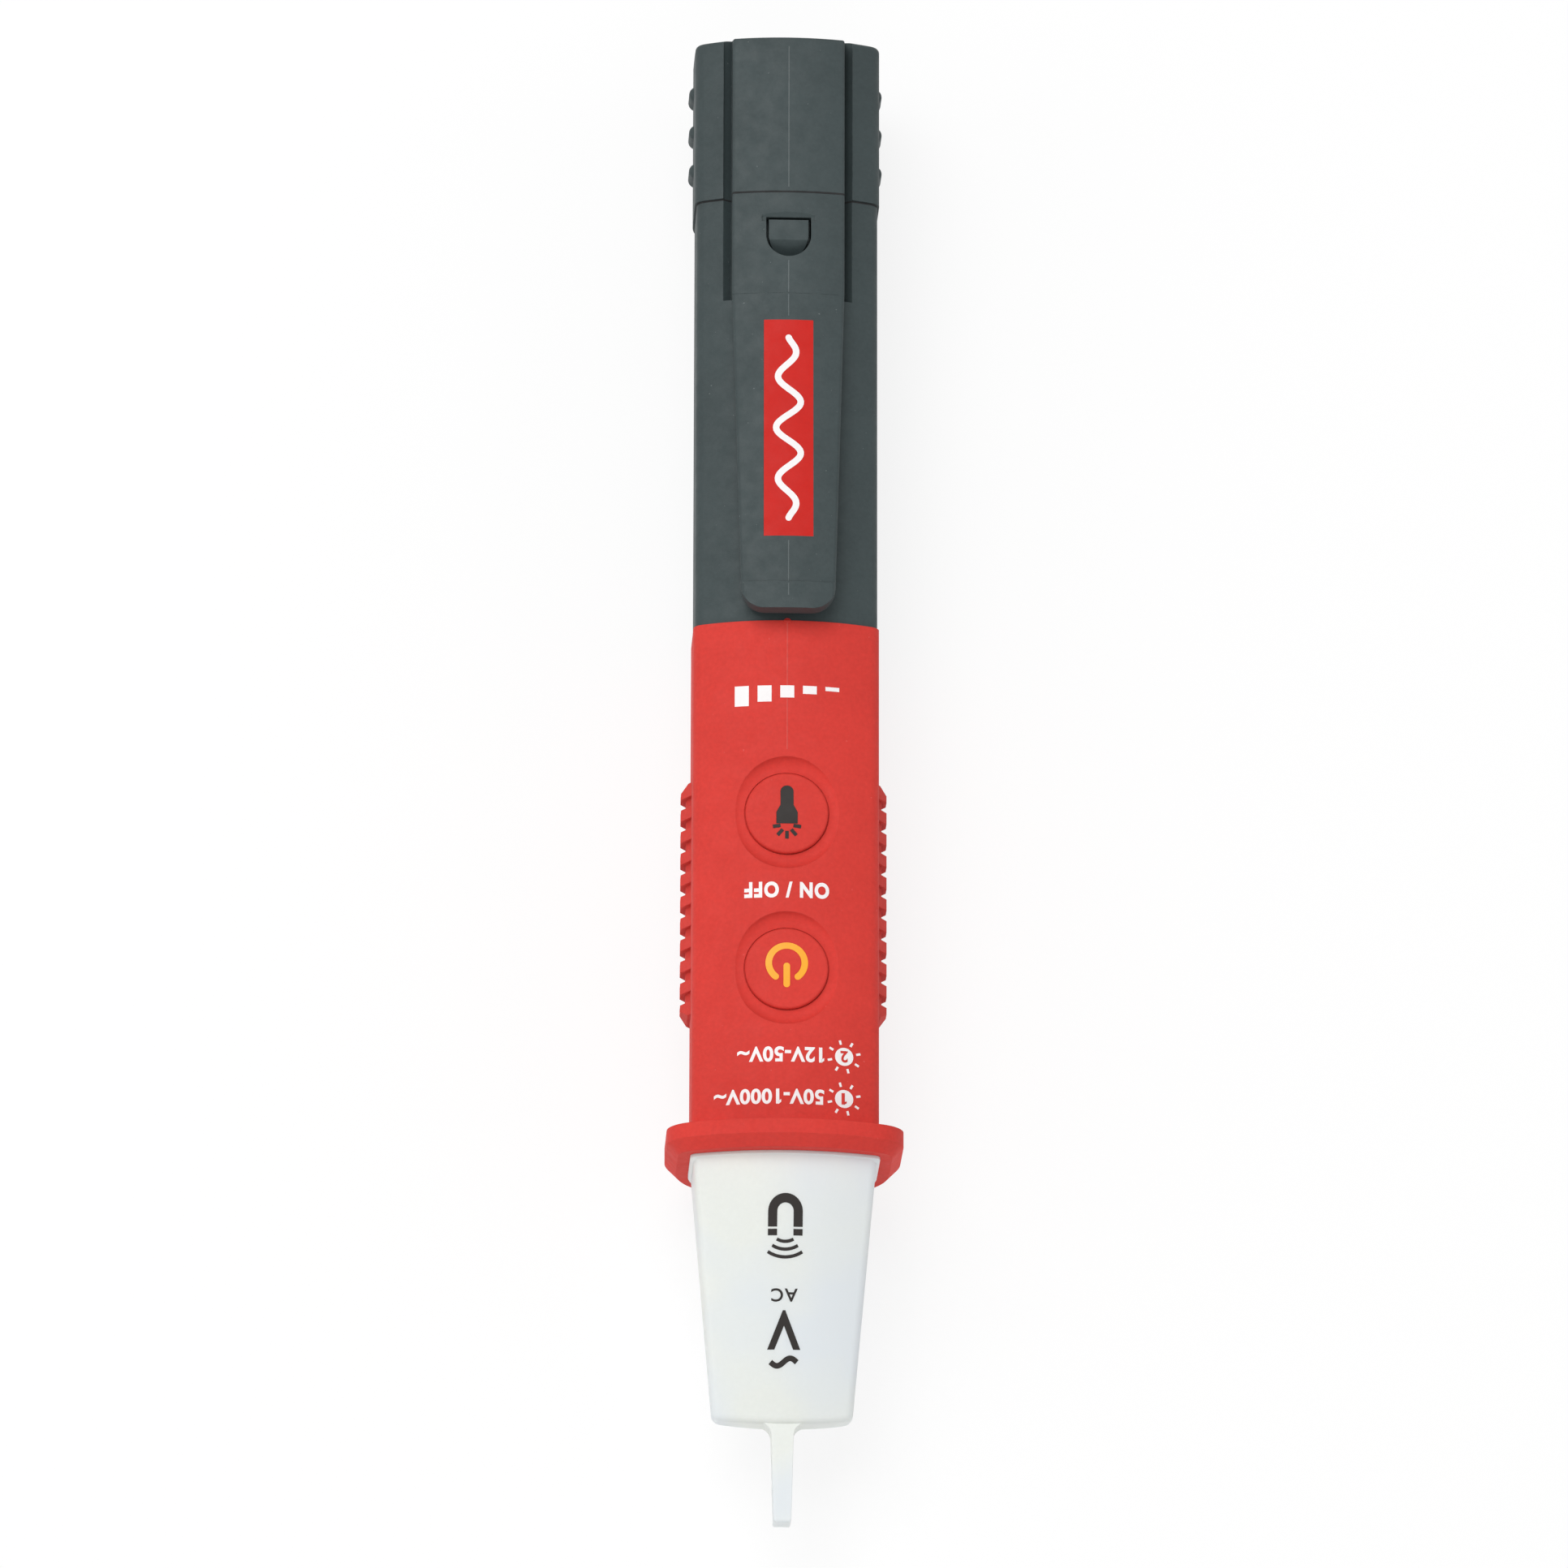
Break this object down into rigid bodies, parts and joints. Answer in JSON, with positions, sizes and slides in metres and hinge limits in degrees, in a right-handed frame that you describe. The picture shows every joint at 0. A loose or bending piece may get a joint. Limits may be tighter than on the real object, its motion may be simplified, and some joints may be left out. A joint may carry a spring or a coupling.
{
  "type": "non contact voltage tester",
  "caption": "Pen-shaped non-contact voltage tester: dark tube with pocket clip and domed battery cap, ribbed soft grip with round keys and finger guard, translucent wedge probe with slim prong.",
  "frame": {"origin": "middle of the base of the box of the tester lying on its back; the back of the finger guard is at z = 0", "axes": "+Y from the probe end to the battery cap, +Z out of the front with the keys and the clip, +X across"},
  "size_m": [0.027, 0.176, 0.0279],
  "materials": {
    "dark_case": "fine spark texture",
    "red_grip": "soft matte overmould",
    "clear_tip": "milky translucent",
    "red_inlay": "printed, satin",
    "amber_print": "printed, satin",
    "dark_print": "printed, matte",
    "white_print": "pad printed",
    "black_part": "moulded",
    "green_board": "solder mask",
    "chip_body": "fired",
    "cell_jacket": "shrink jacket",
    "spring_metal": "nickel plated",
    "brass_wire": "drawn",
    "switch_button": "moulded",
    "seal_rubber": "moulded",
    "foam": "open foam",
    "red_lamp": "clear epoxy",
    "blue_lamp": "clear epoxy",
    "white_lamp": "clear epoxy"
  },
  "bodies": {
    "root": {"barrel": "dark_case", "grip_sleeve": "red_grip", "tip_housing": "clear_tip", "sensor_antenna": "brass_wire", "power_switch": "black_part", "torch_switch": "black_part", "battery_carrier": "black_part", "buzzer": "black_part", "buzzer_foam": "foam", "front_cell": "cell_jacket", "rear_cell": "cell_jacket", "inner_contact": "spring_metal", "circuit_board": "green_board", "board_screws": "spring_metal", "microcontroller": "black_part", "sensor_amplifier": "black_part", "chip_resistors": "chip_body", "chip_capacitors": "chip_body", "field_sensor": "black_part", "voltage_lamp": "red_lamp", "magnet_lamp": "blue_lamp", "torch_lamp": "white_lamp", "light_baffle": "foam"},
    "cap": {"battery_cap": "dark_case", "cap_seal": "seal_rubber", "cap_contact": "spring_metal"},
    "latch": {"cap_latch": "dark_case"},
    "clip": {"pocket_clip": "dark_case", "clip_inlay": "red_inlay"},
    "power_key": {"power_key": "red_grip", "power_symbol": "amber_print"},
    "torch_key": {"torch_key": "red_grip", "torch_symbol": "dark_print"},
    "power_plunger": {"power_plunger": "switch_button"},
    "torch_plunger": {"torch_plunger": "switch_button"}
  },
  "joints": [
    {"name": "battery_cap_slide", "type": "slide", "parent": "root", "child": "cap", "axis": [0, 1, 0], "range_m": [0, 0.025], "deforming": ["cap_latch"]},
    {"name": "cap_latch_press", "type": "hinge", "parent": "cap", "child": "latch", "pos_m": [0, 0.0755, 0.02345], "axis": [1, 0, 0], "range_deg": [0, 8], "stiffness_Nm_per_rad": 0.15},
    {"name": "clip_flex", "type": "hinge", "parent": "root", "child": "clip", "pos_m": [0, 0.0548, 0.0262], "axis": [-1, 0, 0], "range_deg": [0, 4], "stiffness_Nm_per_rad": 1.5},
    {"name": "power_key_press", "type": "slide", "parent": "root", "child": "power_key", "axis": [0, 0, -1], "range_m": [0, 0.0006], "stiffness_N_per_m": 1500},
    {"name": "torch_key_press", "type": "slide", "parent": "root", "child": "torch_key", "axis": [0, 0, -1], "range_m": [0, 0.0006], "stiffness_N_per_m": 1500},
    {"name": "power_plunger_travel", "type": "slide", "parent": "root", "child": "power_plunger", "axis": [0, 0, -1], "range_m": [0, 0.00026]},
    {"name": "torch_plunger_travel", "type": "slide", "parent": "root", "child": "torch_plunger", "axis": [0, 0, -1], "range_m": [0, 0.00026]}
  ],
  "couplings": [
    {"joint": "power_plunger_travel", "follows": "power_key_press", "ratio": 0.42},
    {"joint": "torch_plunger_travel", "follows": "torch_key_press", "ratio": 0.42}
  ]
}
